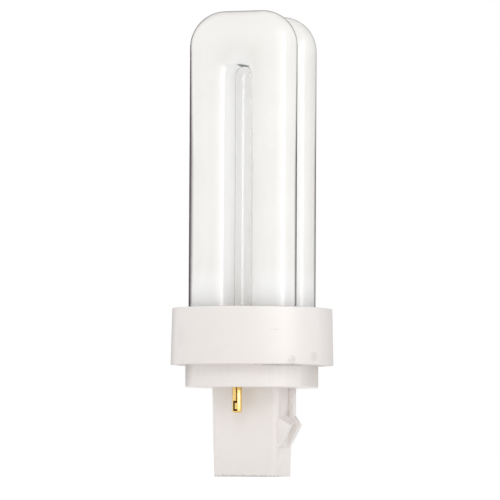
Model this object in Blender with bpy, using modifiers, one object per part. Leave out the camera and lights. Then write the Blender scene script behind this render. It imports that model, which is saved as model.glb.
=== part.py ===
"""Plug-in compact fluorescent lamp: two U-shaped glass tubes on a two-pin plug base.

The lamp stands on the end of its plug post. X runs along the wide side of the
post and of each U, Y runs from the front U to the back U, and Z runs up the tubes.
"""

import math

import bmesh
import bpy

MM = 0.001

# Heights, from the end of the plug post upwards
LAMP_LENGTH = 118.0 * MM
POST_LENGTH = 22.5 * MM
NECK_HEIGHT = 5.7 * MM
COLLAR_HEIGHT = 14.5 * MM

# Glass tubes
TUBE_DIAMETER = 11.8 * MM
TUBE_SPACING = 16.3 * MM
BEND_DEPTH = 13.7 * MM
BEND_CORNER = 9.1 * MM
TUBE_END_RISE = 4.0 * MM
TUBE_END_DOME = 3.0 * MM
CROSS_TUBE_DIAMETER = 4.4 * MM

# Collar, a round cap with one flat on each side, and the room in it for the cement
COLLAR_ROOM = 1.7 * MM
COLLAR_FLAT_CUT = 0.85 * MM
COLLAR_DRAFT = math.radians(1.4)
COLLAR_WALL = 1.6 * MM
COLLAR_ROOF = 2.0 * MM
CEMENT_THICKNESS = 2.2 * MM

# Neck of the base, round with one flat on each side, below the collar
NECK_STEP = 3.6 * MM
NECK_FLAT_CUT = 1.75 * MM
NECK_WALL = 1.3 * MM
NECK_FLOOR = 1.8 * MM
FLANGE_THICKNESS = 1.9 * MM

# Plug post, which stands a little towards its latch side
POST_WIDTH = 16.4 * MM
POST_DEPTH = 14.2 * MM
POST_SHIFT = 0.25 * MM
POST_CORNER = 1.15 * MM
POST_DRAFT = math.radians(1.2)
POST_WALL = 1.4 * MM

# Latch side of the post. What stands proud is measured from the side of the block.
LATCH_BLOCK_HEIGHT = 7.4 * MM
LATCH_PANEL_DEPTH = 0.4 * MM
LATCH_PANEL_MARGIN = 2.6 * MM
LATCH_RAMP_HEIGHT = 5.8 * MM
LATCH_PEAK_PROUD = 2.8 * MM
LATCH_CHEEK_WIDTH = 3.3 * MM
LATCH_SHOULDER_HEIGHT = 2.2 * MM
LATCH_ROOF_PROUD = 1.95 * MM
LATCH_ROOF_THICKNESS = 1.1 * MM
KEY_RIB_WIDTH = 2.1 * MM
KEY_RIB_MARGIN = 0.6 * MM
KEY_RIB_PROUD = 1.15 * MM

# Contact pins
PIN_DIAMETER = 2.45 * MM
PIN_WALL = 0.4 * MM
PIN_SPACING = 24.0 * MM
PIN_LENGTH_BELOW_SEAT = 6.4 * MM
PIN_LENGTH_ABOVE_SEAT = 4.1 * MM
PIN_TIP_ROUNDING = 0.55 * MM
PIN_SLOT_WIDTH = 0.45 * MM
PIN_SLOT_LENGTH = 3.0 * MM
PIN_SLOT_ANGLE = math.radians(-118.0)

# Starter and capacitor, side by side in the post, each with its share of the clear width
STARTER_SHARE = 0.45
STARTER_LENGTH = 15.0 * MM
STARTER_FOOT = 2.4 * MM
CAPACITOR_SHARE = 0.40
CAPACITOR_DEPTH = 3.6 * MM
CAPACITOR_HEIGHT = 9.0 * MM
CAPACITOR_FOOT = 4.0 * MM
CAPACITOR_ROUNDING = 1.1 * MM

# Lead wires. The splices stand above the starter, one for each side of the circuit.
LEAD_DIAMETER = 0.6 * MM
LEAD_SPREAD = 1.3 * MM
LEAD_DROP = 2.4 * MM
LEAD_ARCH = 2.8 * MM
SPLICE_REACH = 2.6 * MM
SPLICE_RISE = 3.2 * MM

# Fits and finish
GAP = 0.3 * MM
EDGE_ROUNDING = 0.35 * MM
FINE_ROUNDING = 0.3 * MM
THROUGH = 1.0 * MM
MERGE = 0.01 * MM

ARC_STEPS = 26
CORNER_STEPS = 4
TUBE_SIDES = 40
BEND_STEPS = 22
DOME_STEPS = 5

# Sizes and levels that follow from those above
TUBE_RADIUS = TUBE_DIAMETER / 2
LEG_OFFSET = TUBE_SPACING / 2
LEG_DIAGONAL = math.hypot(LEG_OFFSET, LEG_OFFSET)
COLLAR_RADIUS = LEG_DIAGONAL + TUBE_RADIUS + COLLAR_ROOM + COLLAR_WALL
NECK_RADIUS = COLLAR_RADIUS - NECK_STEP
SEAT_LEVEL = POST_LENGTH
NECK_FLOOR_TOP = SEAT_LEVEL + NECK_FLOOR
COLLAR_BOTTOM = SEAT_LEVEL + NECK_HEIGHT
COLLAR_TOP = COLLAR_BOTTOM + COLLAR_HEIGHT
TUBE_END_LEVEL = COLLAR_BOTTOM + TUBE_END_RISE
CEMENT_TOP = COLLAR_TOP - COLLAR_ROOF - GAP
CEMENT_BOTTOM = CEMENT_TOP - CEMENT_THICKNESS
CROSS_TUBE_LEVEL = CEMENT_BOTTOM - GAP - CROSS_TUBE_DIAMETER / 2
PIN_TIP_LEVEL = SEAT_LEVEL - PIN_LENGTH_BELOW_SEAT
PIN_TOP_LEVEL = SEAT_LEVEL + PIN_LENGTH_ABOVE_SEAT
LATCH_PEAK_LEVEL = LATCH_BLOCK_HEIGHT + LATCH_RAMP_HEIGHT
LATCH_SHOULDER_LEVEL = LATCH_PEAK_LEVEL + LATCH_SHOULDER_HEIGHT
POST_CLEAR_WIDTH = POST_WIDTH - 2.0 * POST_WALL
STARTER_DIAMETER = POST_CLEAR_WIDTH * STARTER_SHARE
CAPACITOR_WIDTH = POST_CLEAR_WIDTH * CAPACITOR_SHARE
STARTER_ROOM = (POST_CLEAR_WIDTH - STARTER_DIAMETER - CAPACITOR_WIDTH) / 3
STARTER_CENTRE_X = POST_SHIFT + (STARTER_DIAMETER - POST_CLEAR_WIDTH) / 2 + STARTER_ROOM
CAPACITOR_CENTRE_X = POST_SHIFT + (POST_CLEAR_WIDTH - CAPACITOR_WIDTH) / 2 - STARTER_ROOM


def clear_scene():
    """Remove every object of the start scene."""
    for scene_object in list(bpy.data.objects):
        bpy.data.objects.remove(scene_object, do_unlink=True)


def new_collection(name):
    """Return a new collection linked to the scene."""
    collection = bpy.data.collections.new(name)
    bpy.context.scene.collection.children.link(collection)
    return collection


def new_material(name, colour, roughness, metallic=0.0):
    """Return a Principled material."""
    material = bpy.data.materials.new(name)
    material.use_nodes = True
    shader = material.node_tree.nodes["Principled BSDF"]
    shader.inputs["Base Color"].default_value = (*colour, 1.0)
    shader.inputs["Roughness"].default_value = roughness
    shader.inputs["Metallic"].default_value = metallic
    return material


def flatted_circle(radius, cut):
    """Return the outline of a circle cut by a flat at each end of the X axis."""
    half_flat = math.acos(1.0 - cut / radius)
    points = []
    for start in (half_flat, math.pi + half_flat):
        sweep = math.pi - 2.0 * half_flat
        for step in range(ARC_STEPS + 1):
            angle = start + sweep * step / ARC_STEPS
            points.append((radius * math.cos(angle), radius * math.sin(angle)))
    return points


def rounded_rectangle(width, depth, corner):
    """Return the outline of a rectangle with rounded corners."""
    points = []
    signs = ((1, 1), (-1, 1), (-1, -1), (1, -1))
    for quarter, (sign_x, sign_y) in enumerate(signs):
        centre_x = sign_x * (width / 2 - corner)
        centre_y = sign_y * (depth / 2 - corner)
        for step in range(CORNER_STEPS + 1):
            angle = math.pi / 2 * (quarter + step / CORNER_STEPS)
            points.append((centre_x + corner * math.cos(angle), centre_y + corner * math.sin(angle)))
    return points


def circle(radius, sides=TUBE_SIDES):
    """Return the outline of a circle."""
    turns = [2.0 * math.pi * side / sides for side in range(sides)]
    return [(radius * math.cos(turn), radius * math.sin(turn)) for turn in turns]


def level_ring(outline, level, centre=(0.0, 0.0)):
    """Lift a flat outline to a level."""
    return [(x + centre[0], y + centre[1], level) for x, y in outline]


def loft(rings):
    """Join rings of points into one closed skin with a cap at each end."""
    mesh = bmesh.new()
    loops = []
    for ring in rings:
        corners = [mesh.verts.new(point) for point in ring]
        pairs = zip(corners, corners[1:] + corners[:1])
        loops.append([mesh.edges.new(pair) for pair in pairs])
    for lower, upper in zip(loops, loops[1:]):
        bmesh.ops.bridge_loops(mesh, edges=lower + upper)
    for end in (loops[0], loops[-1]):
        bmesh.ops.edgeloop_fill(mesh, edges=end)
    bmesh.ops.recalc_face_normals(mesh, faces=mesh.faces)
    return mesh


def finish_object(name, mesh, material, collection, smooth_angle=35.0):
    """Turn a working mesh into a named object."""
    data = bpy.data.meshes.new(name)
    mesh.to_mesh(data)
    mesh.free()
    data.shade_smooth()
    data.set_sharp_from_angle(angle=math.radians(smooth_angle))
    data.materials.append(material)
    new_object = bpy.data.objects.new(name, data)
    collection.objects.link(new_object)
    return new_object


def add_bevel(target, width, angle, segments=3):
    """Round the edges of an object that are sharper than an angle."""
    bevel = target.modifiers.new("edge_rounding", "BEVEL")
    bevel.width = width
    bevel.segments = segments
    bevel.limit_method = "ANGLE"
    bevel.angle_limit = math.radians(angle)
    return bevel


class LampBuilder:
    """Builds every piece of the lamp into one collection."""

    def __init__(self):
        self.parts = new_collection("quad_tube_lamp")
        self.cutters = new_collection("cutters")
        self.tool_material = new_material("tool", (0.5, 0.5, 0.5), 0.5)
        self.lead_material = new_material("tinned_wire", (0.72, 0.71, 0.68), 0.35, 1.0)

    def tool(self, name, mesh):
        """Keep a helper solid for boolean steps, out of the finished lamp."""
        helper = finish_object(name, mesh, self.tool_material, self.cutters)
        helper.hide_render = True
        helper.display_type = "WIRE"
        return helper

    def combine(self, target, helper, operation):
        """Join, cut or trim a piece with a helper solid."""
        step = target.modifiers.new(helper.name, "BOOLEAN")
        step.operation = operation
        step.object = helper
        step.solver = "EXACT"

    def prism(self, name, rings):
        """Return a helper solid lofted through rings."""
        return self.tool(name, loft(rings))

    def slab(self, name, profile, near, far):
        """Return a helper solid from an X-Z profile stretched along Y."""
        rings = [[(x, y, z) for x, z in profile] for y in (near, far)]
        return self.tool(name, loft(rings))

    # Glass

    def bend_outline_reach(self, angle, pivot_level):
        """Distance from the bend pivot to the outside of the bend in one direction."""
        half_width = LEG_OFFSET + TUBE_RADIUS
        top = LAMP_LENGTH - pivot_level
        corner_x = half_width - BEND_CORNER
        corner_z = top - BEND_CORNER
        run = abs(math.cos(angle))
        rise = math.sin(angle)
        if half_width * rise <= corner_z * run:
            return half_width / run
        if top * run <= corner_x * rise:
            return top / rise
        along = corner_x * run + corner_z * rise
        off_square = corner_x ** 2 + corner_z ** 2 - along ** 2
        return along + math.sqrt(BEND_CORNER ** 2 - off_square)

    def bend_ring(self, angle, centre_y):
        """Oval section of the bend in a half plane that fans about the pivot."""
        inner = LEG_OFFSET - TUBE_RADIUS
        pivot_level = LAMP_LENGTH - BEND_DEPTH - inner
        outer = self.bend_outline_reach(angle, pivot_level)
        middle = (inner + outer) / 2
        half_reach = (outer - inner) / 2
        ring = []
        for x, y in circle(1.0):
            reach = middle + half_reach * x
            ring.append((-reach * math.cos(angle),
                         centre_y + TUBE_RADIUS * y,
                         pivot_level + reach * math.sin(angle)))
        return ring

    def leg_rings(self, centre_x, centre_y):
        """Rings of the domed lower end of one leg, from the tip upwards."""
        rings = []
        outward = math.copysign(1.0, centre_x)
        for step in range(1, DOME_STEPS + 1):
            angle = math.pi / 2 * step / DOME_STEPS
            radius = TUBE_RADIUS * math.sin(angle)
            level = TUBE_END_LEVEL + TUBE_END_DOME * (1.0 - math.cos(angle))
            rings.append([(centre_x + outward * radius * x, centre_y + radius * y, level)
                          for x, y in circle(1.0)])
        return rings

    def u_tube(self, centre_y):
        """Working mesh of one U-shaped tube with its two domed ends."""
        left = self.leg_rings(-LEG_OFFSET, centre_y)
        right = self.leg_rings(LEG_OFFSET, centre_y)
        bend = [self.bend_ring(math.pi * step / BEND_STEPS, centre_y) for step in range(BEND_STEPS + 1)]
        return loft(left + bend + right[::-1])

    def glass_tube(self):
        """The sealed discharge tube: two Us joined by a short cross tube."""
        material = new_material("coated_glass", (0.92, 0.92, 0.90), 0.08)
        tube = finish_object("glass_tube", self.u_tube(-LEG_OFFSET), material, self.parts)
        back = self.tool("back_u", self.u_tube(LEG_OFFSET))
        self.combine(tube, back, "UNION")
        cross = bmesh.new()
        bmesh.ops.create_cone(cross, cap_ends=True, segments=TUBE_SIDES // 2,
                              radius1=CROSS_TUBE_DIAMETER / 2, radius2=CROSS_TUBE_DIAMETER / 2,
                              depth=TUBE_SPACING)
        cross_tube = self.tool("cross_tube", cross)
        cross_tube.rotation_euler = (math.pi / 2, 0.0, 0.0)
        cross_tube.location = (-LEG_OFFSET, 0.0, CROSS_TUBE_LEVEL)
        self.combine(tube, cross_tube, "UNION")

    def cement_rings(self):
        """Rings of cement that hold the four legs under the collar roof."""
        material = new_material("cement", (0.78, 0.75, 0.70), 0.9)
        inner = TUBE_RADIUS + GAP
        wall_reach = COLLAR_RADIUS - COLLAR_WALL - self.collar_shrink(CEMENT_TOP)
        outer = wall_reach - GAP - LEG_DIAGONAL
        for side_x, name_x in ((-1, "left"), (1, "right")):
            for side_y, name_y in ((-1, "front"), (1, "back")):
                centre = (side_x * LEG_OFFSET, side_y * LEG_OFFSET)
                name = f"cement_{name_y}_{name_x}"
                skin = loft([level_ring(circle(outer), level, centre)
                             for level in (CEMENT_BOTTOM, CEMENT_TOP)])
                ring = finish_object(name, skin, material, self.parts)
                bore = self.prism(f"{name}_bore",
                                  [level_ring(circle(inner), level, centre)
                                   for level in (CEMENT_BOTTOM - THROUGH, CEMENT_TOP + THROUGH)])
                self.combine(ring, bore, "DIFFERENCE")

    # Collar

    def collar_shrink(self, level):
        """How far the drafted collar wall has moved inwards at a level."""
        return (level - COLLAR_BOTTOM) * math.tan(COLLAR_DRAFT)

    def collar_ring(self, level, inset=0.0):
        """Outline ring of the drafted collar at a level, stepped inwards by an inset."""
        radius = COLLAR_RADIUS - self.collar_shrink(level) - inset
        return level_ring(flatted_circle(radius, COLLAR_FLAT_CUT), level)

    def collar(self):
        """The collar shell, open below, with a hole for each leg of the tubes."""
        material = new_material("collar_plastic", (0.86, 0.85, 0.83), 0.42)
        skin = loft([self.collar_ring(level) for level in (COLLAR_BOTTOM, COLLAR_TOP)])
        collar = finish_object("collar", skin, material, self.parts)
        add_bevel(collar, EDGE_ROUNDING, 12.0)
        roof_bottom = COLLAR_TOP - COLLAR_ROOF
        hollow = self.prism("collar_hollow",
                            [self.collar_ring(level, COLLAR_WALL)
                             for level in (COLLAR_BOTTOM - THROUGH, roof_bottom)])
        self.combine(collar, hollow, "DIFFERENCE")
        for index, (side_x, side_y) in enumerate(((-1, -1), (1, -1), (-1, 1), (1, 1))):
            centre = (side_x * LEG_OFFSET, side_y * LEG_OFFSET)
            hole = self.prism(f"leg_hole_{index}",
                              [level_ring(circle(TUBE_RADIUS + GAP), level, centre)
                               for level in (roof_bottom - THROUGH, COLLAR_TOP + THROUGH)])
            self.combine(collar, hole, "DIFFERENCE")

    # Base

    def post_side(self, level):
        """How far out the latch side of the drafted post is at a level."""
        return POST_SHIFT + POST_WIDTH / 2 + level * math.tan(POST_DRAFT)

    def post_ring(self, level, inset=0.0):
        """Outline ring of the drafted post at a level."""
        growth = 2.0 * (level * math.tan(POST_DRAFT) - inset)
        corner = max(POST_CORNER - inset, FINE_ROUNDING)
        outline = rounded_rectangle(POST_WIDTH + growth, POST_DEPTH + growth, corner)
        return level_ring(outline, level, (POST_SHIFT, 0.0))

    def post(self):
        """The plug post with its latch panel, key rib and cored latch bump."""
        post_top = SEAT_LEVEL + NECK_FLOOR / 2
        post = self.prism("post", [self.post_ring(0.0), self.post_ring(post_top)])
        add_bevel(post, FINE_ROUNDING, 40.0, segments=2)
        block_reach = self.post_side(LATCH_BLOCK_HEIGHT)
        floor_reach = block_reach - LATCH_PANEL_DEPTH
        panel_top = post_top + THROUGH
        panel_top_reach = self.post_side(panel_top) - LATCH_PANEL_DEPTH
        panel_start = LATCH_PANEL_MARGIN - POST_DEPTH / 2
        rib_end = POST_DEPTH / 2 - KEY_RIB_MARGIN
        root_reach = block_reach - POST_WALL / 2
        peak_reach = block_reach + LATCH_PEAK_PROUD
        clear_reach = peak_reach + THROUGH
        ramp_foot = LATCH_BLOCK_HEIGHT - GAP
        rib_start = rib_end - KEY_RIB_WIDTH
        panel = self.slab("latch_panel",
                          [(floor_reach, LATCH_BLOCK_HEIGHT), (clear_reach, LATCH_BLOCK_HEIGHT),
                           (clear_reach, panel_top), (panel_top_reach, panel_top)],
                          panel_start, rib_start + GAP)
        self.combine(post, panel, "DIFFERENCE")
        rib_reach = block_reach + KEY_RIB_PROUD
        rib_top = post_top - GAP
        key_rib = self.slab("key_rib",
                            [(root_reach, ramp_foot), (floor_reach, ramp_foot),
                             (peak_reach, LATCH_PEAK_LEVEL), (rib_reach, LATCH_SHOULDER_LEVEL),
                             (rib_reach, rib_top), (root_reach, rib_top)],
                            rib_start, rib_end)
        self.combine(post, key_rib, "UNION")
        cheek_end = panel_start + LATCH_CHEEK_WIDTH
        cheek = self.slab("latch_cheek",
                          [(root_reach, ramp_foot), (floor_reach, ramp_foot),
                           (peak_reach, LATCH_PEAK_LEVEL), (floor_reach - GAP, LATCH_SHOULDER_LEVEL),
                           (root_reach, LATCH_SHOULDER_LEVEL)],
                          panel_start - GAP, cheek_end)
        self.combine(post, cheek, "UNION")
        roof_reach = block_reach + LATCH_ROOF_PROUD
        bridge = self.slab("latch_bridge",
                           [(root_reach, LATCH_SHOULDER_LEVEL), (floor_reach, LATCH_SHOULDER_LEVEL),
                            (roof_reach, LATCH_PEAK_LEVEL + GAP),
                            (roof_reach - LATCH_ROOF_THICKNESS, LATCH_PEAK_LEVEL - GAP),
                            (root_reach, LATCH_SHOULDER_LEVEL - LATCH_ROOF_THICKNESS)],
                           cheek_end - GAP, rib_start + GAP)
        self.combine(post, bridge, "UNION")
        return post

    def neck_ring(self, level, inset=0.0):
        """Outline ring of the neck at a level, stepped inwards by an inset."""
        return level_ring(flatted_circle(NECK_RADIUS - inset, NECK_FLAT_CUT), level)

    def base(self):
        """The base moulding: flange, neck and hollow plug post."""
        material = new_material("base_plastic", (0.84, 0.83, 0.81), 0.42)
        flange_bottom = COLLAR_BOTTOM + GAP
        flange_top = flange_bottom + FLANGE_THICKNESS
        neck = loft([self.neck_ring(level) for level in (SEAT_LEVEL, flange_bottom + FLANGE_THICKNESS / 2)])
        base = finish_object("base", neck, material, self.parts)
        add_bevel(base, EDGE_ROUNDING, 12.0)
        flange = self.prism("flange", [self.collar_ring(level, COLLAR_WALL + GAP)
                                       for level in (flange_bottom, flange_top)])
        self.combine(base, flange, "UNION")
        self.combine(base, self.post(), "UNION")
        neck_hollow = self.prism("neck_hollow", [self.neck_ring(level, NECK_WALL)
                                                 for level in (NECK_FLOOR_TOP, flange_top + THROUGH)])
        self.combine(base, neck_hollow, "DIFFERENCE")
        post_hollow = self.prism("post_hollow", [self.post_ring(POST_WALL, POST_WALL),
                                                 self.post_ring(NECK_FLOOR_TOP + THROUGH, POST_WALL)])
        self.combine(base, post_hollow, "DIFFERENCE")
        for side, name in ((-1, "front"), (1, "back")):
            centre = (0.0, side * PIN_SPACING / 2)
            hole = self.prism(f"pin_hole_{name}",
                              [level_ring(circle(PIN_DIAMETER / 2 + GAP, TUBE_SIDES // 2), level, centre)
                               for level in (SEAT_LEVEL - THROUGH, NECK_FLOOR_TOP + THROUGH)])
            self.combine(base, hole, "DIFFERENCE")

    def contact_pin(self, side, name):
        """A rolled brass contact pin with a rounded tip and a crimp slot."""
        material = new_material(f"{name}_brass", (0.80, 0.60, 0.26), 0.25, 1.0)
        radius = PIN_DIAMETER / 2
        centre = (0.0, side * PIN_SPACING / 2)
        rings = []
        for step in range(CORNER_STEPS + 1):
            angle = math.pi / 2 * step / CORNER_STEPS
            ring_radius = radius - PIN_TIP_ROUNDING * (1.0 - math.sin(angle))
            level = PIN_TIP_LEVEL + PIN_TIP_ROUNDING * (1.0 - math.cos(angle))
            rings.append(level_ring(circle(ring_radius, TUBE_SIDES // 2), level, centre))
        rings.append(level_ring(circle(radius, TUBE_SIDES // 2), PIN_TOP_LEVEL, centre))
        pin = finish_object(name, loft(rings), material, self.parts)
        bore = self.prism(f"{name}_bore",
                          [level_ring(circle(radius - PIN_WALL, TUBE_SIDES // 2), level, centre)
                           for level in (PIN_TIP_LEVEL + PIN_WALL * 2, PIN_TOP_LEVEL + THROUGH)])
        self.combine(pin, bore, "DIFFERENCE")
        slot = bmesh.new()
        bmesh.ops.create_cube(slot, size=1.0)
        bmesh.ops.scale(slot, verts=slot.verts,
                        vec=(PIN_DIAMETER, PIN_SLOT_WIDTH, PIN_SLOT_LENGTH + THROUGH))
        slot_tool = self.tool(f"{name}_slot", slot)
        turn = PIN_SLOT_ANGLE if side < 0 else PIN_SLOT_ANGLE + math.pi
        slot_tool.rotation_euler = (0.0, 0.0, turn)
        slot_tool.location = (centre[0] + radius * math.cos(turn),
                              centre[1] + radius * math.sin(turn),
                              PIN_TIP_LEVEL + (PIN_SLOT_LENGTH - THROUGH) / 2)
        self.combine(pin, slot_tool, "DIFFERENCE")

    # Electrical parts inside the post

    def starter_bulb(self):
        """The sealed glow starter standing in the post."""
        material = new_material("starter_glass", (0.70, 0.74, 0.74), 0.1)
        radius = STARTER_DIAMETER / 2
        rings = []
        for step in range(1, DOME_STEPS + 1):
            angle = math.pi / 2 * step / DOME_STEPS
            rings.append((radius * math.sin(angle), radius * (1.0 - math.cos(angle))))
        upper = [(ring_radius, STARTER_LENGTH - rise) for ring_radius, rise in reversed(rings)]
        centre = (STARTER_CENTRE_X, 0.0)
        levels = [level_ring(circle(ring_radius, TUBE_SIDES // 2), STARTER_FOOT + rise, centre)
                  for ring_radius, rise in rings + upper]
        finish_object("starter_bulb", loft(levels), material, self.parts)

    def starter_capacitor(self):
        """The small capacitor wired across the starter."""
        material = new_material("capacitor_coat", (0.55, 0.32, 0.10), 0.35)
        block = bmesh.new()
        bmesh.ops.create_cube(block, size=1.0)
        bmesh.ops.scale(block, verts=block.verts, vec=(CAPACITOR_WIDTH, CAPACITOR_DEPTH, CAPACITOR_HEIGHT))
        capacitor = finish_object("starter_capacitor", block, material, self.parts)
        capacitor.location = (CAPACITOR_CENTRE_X, 0.0, CAPACITOR_FOOT + CAPACITOR_HEIGHT / 2)
        add_bevel(capacitor, CAPACITOR_ROUNDING, 40.0)

    def lead(self, name, points):
        """One round lead wire along a smooth path."""
        curve = bpy.data.curves.new(name, "CURVE")
        curve.dimensions = "3D"
        curve.bevel_depth = LEAD_DIAMETER / 2
        curve.bevel_resolution = 1
        curve.use_fill_caps = True
        curve.resolution_u = 5
        spline = curve.splines.new("NURBS")
        spline.points.add(len(points) - 1)
        for control, point in zip(spline.points, points):
            control.co = (*point, 1.0)
        spline.order_u = 4
        spline.use_endpoint_u = True
        path = bpy.data.objects.new(f"{name}_path", curve)
        self.cutters.objects.link(path)
        bpy.context.view_layer.update()
        drawn = path.evaluated_get(bpy.context.evaluated_depsgraph_get())
        mesh = bmesh.new()
        wire = bpy.data.meshes.new_from_object(drawn)
        mesh.from_mesh(wire)
        bmesh.ops.remove_doubles(mesh, verts=mesh.verts, dist=MERGE)
        bmesh.ops.recalc_face_normals(mesh, faces=mesh.faces)
        bpy.data.objects.remove(path, do_unlink=True)
        bpy.data.meshes.remove(wire)
        finish_object(name, mesh, self.lead_material, self.parts, smooth_angle=60.0)

    def leads(self):
        """Cathode leads to the pins and the starter, and the leads of the starter parts."""
        seal = TUBE_END_LEVEL - GAP * 2
        arch = PIN_TOP_LEVEL + LEAD_ARCH
        splice = NECK_FLOOR_TOP + SPLICE_RISE
        pitch = LEAD_DIAMETER + GAP
        starter_top = STARTER_FOOT + STARTER_LENGTH + GAP * 2
        capacitor_top = CAPACITOR_FOOT + CAPACITOR_HEIGHT + GAP * 2
        for side, name in ((-1, "front"), (1, "back")):
            leg_y = side * LEG_OFFSET
            pin_y = side * PIN_SPACING / 2
            splice_y = side * SPLICE_REACH
            inner_x = LEG_OFFSET - LEAD_SPREAD
            outer_x = LEG_OFFSET + LEAD_SPREAD
            starter_x = STARTER_CENTRE_X + side * LEAD_SPREAD
            capacitor_y = side * LEAD_SPREAD
            self.lead(f"cathode_lead_pin_{name}",
                      [(inner_x, leg_y, seal), (inner_x, leg_y, seal - LEAD_DROP),
                       (LEG_OFFSET / 2, pin_y, arch), (0.0, pin_y, arch), (0.0, pin_y, SEAT_LEVEL)])
            self.lead(f"cathode_lead_starter_{name}",
                      [(outer_x, leg_y, seal), (outer_x, leg_y, seal - LEAD_DROP),
                       (LEG_OFFSET, leg_y / 2, splice + pitch), (0.0, splice_y, splice + pitch)])
            self.lead(f"starter_lead_{name}",
                      [(starter_x, 0.0, starter_top), (starter_x, 0.0, starter_top + LEAD_DROP),
                       (starter_x, splice_y, NECK_FLOOR_TOP), (-pitch / 2, splice_y, splice)])
            self.lead(f"capacitor_lead_{name}",
                      [(CAPACITOR_CENTRE_X, capacitor_y, capacitor_top),
                       (CAPACITOR_CENTRE_X, capacitor_y, capacitor_top + LEAD_DROP),
                       (CAPACITOR_CENTRE_X - LEAD_SPREAD, splice_y, NECK_FLOOR_TOP),
                       (pitch / 2, splice_y, splice)])

    def build(self):
        """Build the whole lamp."""
        self.glass_tube()
        self.collar()
        self.cement_rings()
        self.base()
        self.contact_pin(-1, "contact_pin_front")
        self.contact_pin(1, "contact_pin_back")
        self.starter_bulb()
        self.starter_capacitor()
        self.leads()


clear_scene()
LampBuilder().build()
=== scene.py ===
"""Dressed model of a plug-in quad tube fluorescent lamp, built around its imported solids.

Every piece is in metres in the frame of the solids: the lamp stands on the end of its
plug post, X runs along each U, Y from the front U to the back U and Z up the tubes.
"""

import logging
import math
from collections.abc import Callable, Iterable, Sequence
from dataclasses import dataclass, field
from enum import Enum

import bmesh
import bpy
from mathutils import Matrix, Vector


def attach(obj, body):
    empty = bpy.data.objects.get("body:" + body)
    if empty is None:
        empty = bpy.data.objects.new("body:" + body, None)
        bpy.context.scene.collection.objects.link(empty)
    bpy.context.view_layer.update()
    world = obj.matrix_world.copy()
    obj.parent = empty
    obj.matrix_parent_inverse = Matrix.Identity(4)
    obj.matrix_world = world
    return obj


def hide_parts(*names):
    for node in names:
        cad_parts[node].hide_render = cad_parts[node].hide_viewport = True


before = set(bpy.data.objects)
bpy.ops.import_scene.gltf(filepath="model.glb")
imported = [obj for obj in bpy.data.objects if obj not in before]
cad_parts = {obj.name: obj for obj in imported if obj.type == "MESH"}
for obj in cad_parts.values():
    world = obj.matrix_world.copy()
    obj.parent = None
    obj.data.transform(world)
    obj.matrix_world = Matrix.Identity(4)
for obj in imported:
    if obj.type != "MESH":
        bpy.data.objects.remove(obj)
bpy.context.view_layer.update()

MM = 0.001
BODY = "root"
LOG = logging.getLogger("lamp")

# Places that several pieces share, and the direction of the camera from the front.
LEG_OFFSET = 8.15 * MM
PIN_OFFSET = 12.0 * MM
PIN_TIP = 16.1 * MM
VIEW_TURN = math.radians(18.0)

# Least angle in degrees and number of faces of a rounding: on the outline of a moulding, which is
# rounded first, and on the edges that its cuts leave.
OUTLINE_ANGLE = 10.0
OUTLINE_SEGMENTS = 6
CUT_ANGLE = 40.0
CUT_SEGMENTS = 2

# Values of a noise that a finish reads as none and all of a fine or a slow variation.
NOISE_SPAN = (0.3, 0.7)
FLOW_SPAN = (0.35, 0.65)

TINY = 1e-4
WHITE = (1.0, 1.0, 1.0)

Point = tuple[float, float, float]
Outline = list[tuple[float, float]]
Colour = tuple[float, float, float]
Span = tuple[float, float]


class Side(Enum):
    """Front or back half of the lamp, as the sign of its Y."""

    FRONT = -1
    BACK = 1


class Cut(Enum):
    """What a helper solid does to a piece."""

    JOIN = "UNION"
    TAKE_AWAY = "DIFFERENCE"


# Outlines and solids.


def flatted_circle(radius: float, cut: float, steps: int = 64) -> Outline:
    """Outline of a circle cut by a flat at each end of the X axis.

    Args:
        radius: Radius of the round part.
        cut: How far each flat lies inside the circle.
        steps: Number of short edges in each of the two arcs.

    Returns:
        The corners in order, anticlockwise.
    """
    half_flat = math.acos(1.0 - cut / radius)
    sweep = math.pi - 2.0 * half_flat
    starts = (half_flat, math.pi + half_flat)
    angles = [start + sweep * step / steps for start in starts for step in range(steps + 1)]
    return [(radius * math.cos(angle), radius * math.sin(angle)) for angle in angles]


def rounded_rectangle(width: float, depth: float, corner: float, steps: int = 8) -> Outline:
    """Outline of a rectangle with round corners.

    Args:
        width: Size along X.
        depth: Size along Y.
        corner: Radius of the corners.
        steps: Number of short edges in each corner.

    Returns:
        The corners in order, anticlockwise.
    """
    points: Outline = []
    for quarter, (sign_x, sign_y) in enumerate(((1, 1), (-1, 1), (-1, -1), (1, -1))):
        centre_x = sign_x * (width / 2 - corner)
        centre_y = sign_y * (depth / 2 - corner)
        for step in range(steps + 1):
            angle = math.pi / 2 * (quarter + step / steps)
            points.append((centre_x + corner * math.cos(angle), centre_y + corner * math.sin(angle)))
    return points


def circle(radius: float, sides: int = 96) -> Outline:
    """Outline of a circle with a number of sides."""
    turns = [2.0 * math.pi * side / sides for side in range(sides)]
    return [(radius * math.cos(turn), radius * math.sin(turn)) for turn in turns]


def at_level(outline: Outline, level: float, centre: tuple[float, float] = (0.0, 0.0)) -> list[Point]:
    """Ring of points that lifts a flat outline to a level."""
    return [(x + centre[0], y + centre[1], level) for x, y in outline]


def loft(rings: Sequence[Sequence[Point]]) -> bmesh.types.BMesh:
    """Join rings of points into one closed skin with a cap at each end.

    Args:
        rings: Rings with the same number of points each, in order.

    Returns:
        A working mesh whose faces point outwards.
    """
    mesh = bmesh.new()
    corners = [[mesh.verts.new(point) for point in ring] for ring in rings]
    for lower, upper in zip(corners, corners[1:]):
        for index in range(len(lower)):
            after = (index + 1) % len(lower)
            mesh.faces.new((lower[index], lower[after], upper[after], upper[index]))
    mesh.faces.new(corners[0])
    mesh.faces.new(corners[-1])
    bmesh.ops.recalc_face_normals(mesh, faces=mesh.faces)
    return mesh


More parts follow.
